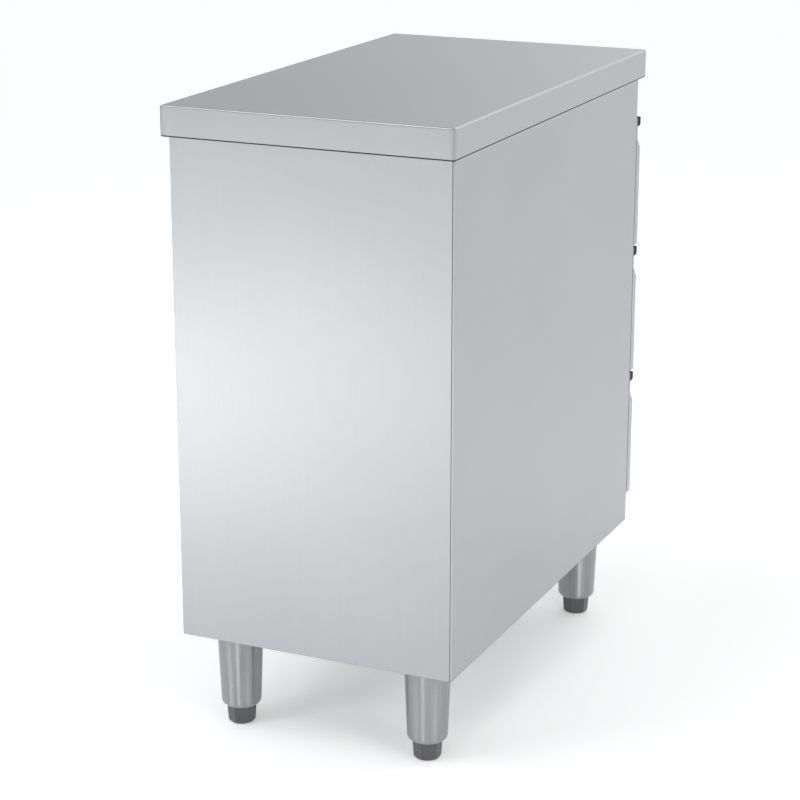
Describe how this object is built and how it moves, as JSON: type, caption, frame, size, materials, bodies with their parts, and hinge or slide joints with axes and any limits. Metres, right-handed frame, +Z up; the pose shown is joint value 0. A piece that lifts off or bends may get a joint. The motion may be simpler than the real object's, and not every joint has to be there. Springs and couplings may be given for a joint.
{
  "type": "drawer cabinet",
  "caption": "Stainless steel drawer cabinet with a flat worktop, recessed drawer grips, telescopic runners, conical legs and screw feet, for a professional kitchen.",
  "frame": {"origin": "on the floor, under the middle of the worktop", "axes": "+Z up, +Y towards the back, drawers open towards -Y, +X to the right of someone at the drawers"},
  "size_m": [0.4, 0.7, 0.85],
  "materials": {
    "satin_steel": "satin brushed stainless steel sheet",
    "runner_steel": "smooth rolled steel",
    "cage_steel": "pressed steel strip with bright balls",
    "board": "moisture-resistant faced board",
    "black_plastic": "fine-grained black moulding",
    "grey_plastic": "dark grey moulding"
  },
  "bodies": {
    "carcass": {"worktop": "satin_steel", "worktop_board": "board", "left_side_panel": "satin_steel", "right_side_panel": "satin_steel", "back_panel": "satin_steel", "floor_panel": "satin_steel", "front_top_rail": "satin_steel", "rear_top_rail": "satin_steel", "left_front_post": "satin_steel", "left_rear_post": "satin_steel", "right_front_post": "satin_steel", "right_rear_post": "satin_steel", "bottom_left_outer_runner": "runner_steel", "bottom_right_outer_runner": "runner_steel", "middle_left_outer_runner": "runner_steel", "middle_right_outer_runner": "runner_steel", "top_left_outer_runner": "runner_steel", "top_right_outer_runner": "runner_steel", "front_left_leg": "satin_steel", "front_right_leg": "satin_steel", "rear_left_leg": "satin_steel", "rear_right_leg": "satin_steel"},
    "bottom_drawer": {"bottom_drawer_front": "satin_steel", "bottom_drawer_grip": "black_plastic", "bottom_drawer_tray": "satin_steel", "bottom_left_inner_runner": "runner_steel", "bottom_right_inner_runner": "runner_steel"},
    "middle_drawer": {"middle_drawer_front": "satin_steel", "middle_drawer_grip": "black_plastic", "middle_drawer_tray": "satin_steel", "middle_left_inner_runner": "runner_steel", "middle_right_inner_runner": "runner_steel"},
    "top_drawer": {"top_drawer_front": "satin_steel", "top_drawer_grip": "black_plastic", "top_drawer_tray": "satin_steel", "top_left_inner_runner": "runner_steel", "top_right_inner_runner": "runner_steel"},
    "bottom_outer_ball_cages": {"bottom_left_outer_ball_cage": "cage_steel", "bottom_right_outer_ball_cage": "cage_steel"},
    "bottom_middle_runners": {"bottom_left_middle_runner": "runner_steel", "bottom_right_middle_runner": "runner_steel"},
    "bottom_inner_ball_cages": {"bottom_left_inner_ball_cage": "cage_steel", "bottom_right_inner_ball_cage": "cage_steel"},
    "middle_outer_ball_cages": {"middle_left_outer_ball_cage": "cage_steel", "middle_right_outer_ball_cage": "cage_steel"},
    "middle_middle_runners": {"middle_left_middle_runner": "runner_steel", "middle_right_middle_runner": "runner_steel"},
    "middle_inner_ball_cages": {"middle_left_inner_ball_cage": "cage_steel", "middle_right_inner_ball_cage": "cage_steel"},
    "top_outer_ball_cages": {"top_left_outer_ball_cage": "cage_steel", "top_right_outer_ball_cage": "cage_steel"},
    "top_middle_runners": {"top_left_middle_runner": "runner_steel", "top_right_middle_runner": "runner_steel"},
    "top_inner_ball_cages": {"top_left_inner_ball_cage": "cage_steel", "top_right_inner_ball_cage": "cage_steel"},
    "front_left_foot": {"front_left_foot": "grey_plastic"},
    "front_right_foot": {"front_right_foot": "grey_plastic"},
    "rear_left_foot": {"rear_left_foot": "grey_plastic"},
    "rear_right_foot": {"rear_right_foot": "grey_plastic"}
  },
  "joints": [
    {"name": "bottom_drawer_slide", "type": "slide", "parent": "carcass", "child": "bottom_drawer", "axis": [0, -1, 0], "range_m": [0, 0.54]},
    {"name": "middle_drawer_slide", "type": "slide", "parent": "carcass", "child": "middle_drawer", "axis": [0, -1, 0], "range_m": [0, 0.54]},
    {"name": "top_drawer_slide", "type": "slide", "parent": "carcass", "child": "top_drawer", "axis": [0, -1, 0], "range_m": [0, 0.54]},
    {"name": "bottom_outer_ball_cages_slide", "type": "slide", "parent": "carcass", "child": "bottom_outer_ball_cages", "axis": [0, -1, 0], "range_m": [0, 0.135]},
    {"name": "bottom_middle_runners_slide", "type": "slide", "parent": "carcass", "child": "bottom_middle_runners", "axis": [0, -1, 0], "range_m": [0, 0.27]},
    {"name": "bottom_inner_ball_cages_slide", "type": "slide", "parent": "carcass", "child": "bottom_inner_ball_cages", "axis": [0, -1, 0], "range_m": [0, 0.405]},
    {"name": "middle_outer_ball_cages_slide", "type": "slide", "parent": "carcass", "child": "middle_outer_ball_cages", "axis": [0, -1, 0], "range_m": [0, 0.135]},
    {"name": "middle_middle_runners_slide", "type": "slide", "parent": "carcass", "child": "middle_middle_runners", "axis": [0, -1, 0], "range_m": [0, 0.27]},
    {"name": "middle_inner_ball_cages_slide", "type": "slide", "parent": "carcass", "child": "middle_inner_ball_cages", "axis": [0, -1, 0], "range_m": [0, 0.405]},
    {"name": "top_outer_ball_cages_slide", "type": "slide", "parent": "carcass", "child": "top_outer_ball_cages", "axis": [0, -1, 0], "range_m": [0, 0.135]},
    {"name": "top_middle_runners_slide", "type": "slide", "parent": "carcass", "child": "top_middle_runners", "axis": [0, -1, 0], "range_m": [0, 0.27]},
    {"name": "top_inner_ball_cages_slide", "type": "slide", "parent": "carcass", "child": "top_inner_ball_cages", "axis": [0, -1, 0], "range_m": [0, 0.405]},
    {"name": "front_left_foot_screw", "type": "slide", "parent": "carcass", "child": "front_left_foot", "axis": [0, 0, -1], "range_m": [0, 0.03]},
    {"name": "front_right_foot_screw", "type": "slide", "parent": "carcass", "child": "front_right_foot", "axis": [0, 0, -1], "range_m": [0, 0.03]},
    {"name": "rear_left_foot_screw", "type": "slide", "parent": "carcass", "child": "rear_left_foot", "axis": [0, 0, -1], "range_m": [0, 0.03]},
    {"name": "rear_right_foot_screw", "type": "slide", "parent": "carcass", "child": "rear_right_foot", "axis": [0, 0, -1], "range_m": [0, 0.03]}
  ],
  "couplings": [
    {"joint": "bottom_outer_ball_cages_slide", "follows": "bottom_drawer_slide", "ratio": 0.25},
    {"joint": "bottom_middle_runners_slide", "follows": "bottom_drawer_slide", "ratio": 0.5},
    {"joint": "bottom_inner_ball_cages_slide", "follows": "bottom_drawer_slide", "ratio": 0.75},
    {"joint": "middle_outer_ball_cages_slide", "follows": "middle_drawer_slide", "ratio": 0.25},
    {"joint": "middle_middle_runners_slide", "follows": "middle_drawer_slide", "ratio": 0.5},
    {"joint": "middle_inner_ball_cages_slide", "follows": "middle_drawer_slide", "ratio": 0.75},
    {"joint": "top_outer_ball_cages_slide", "follows": "top_drawer_slide", "ratio": 0.25},
    {"joint": "top_middle_runners_slide", "follows": "top_drawer_slide", "ratio": 0.5},
    {"joint": "top_inner_ball_cages_slide", "follows": "top_drawer_slide", "ratio": 0.75}
  ]
}
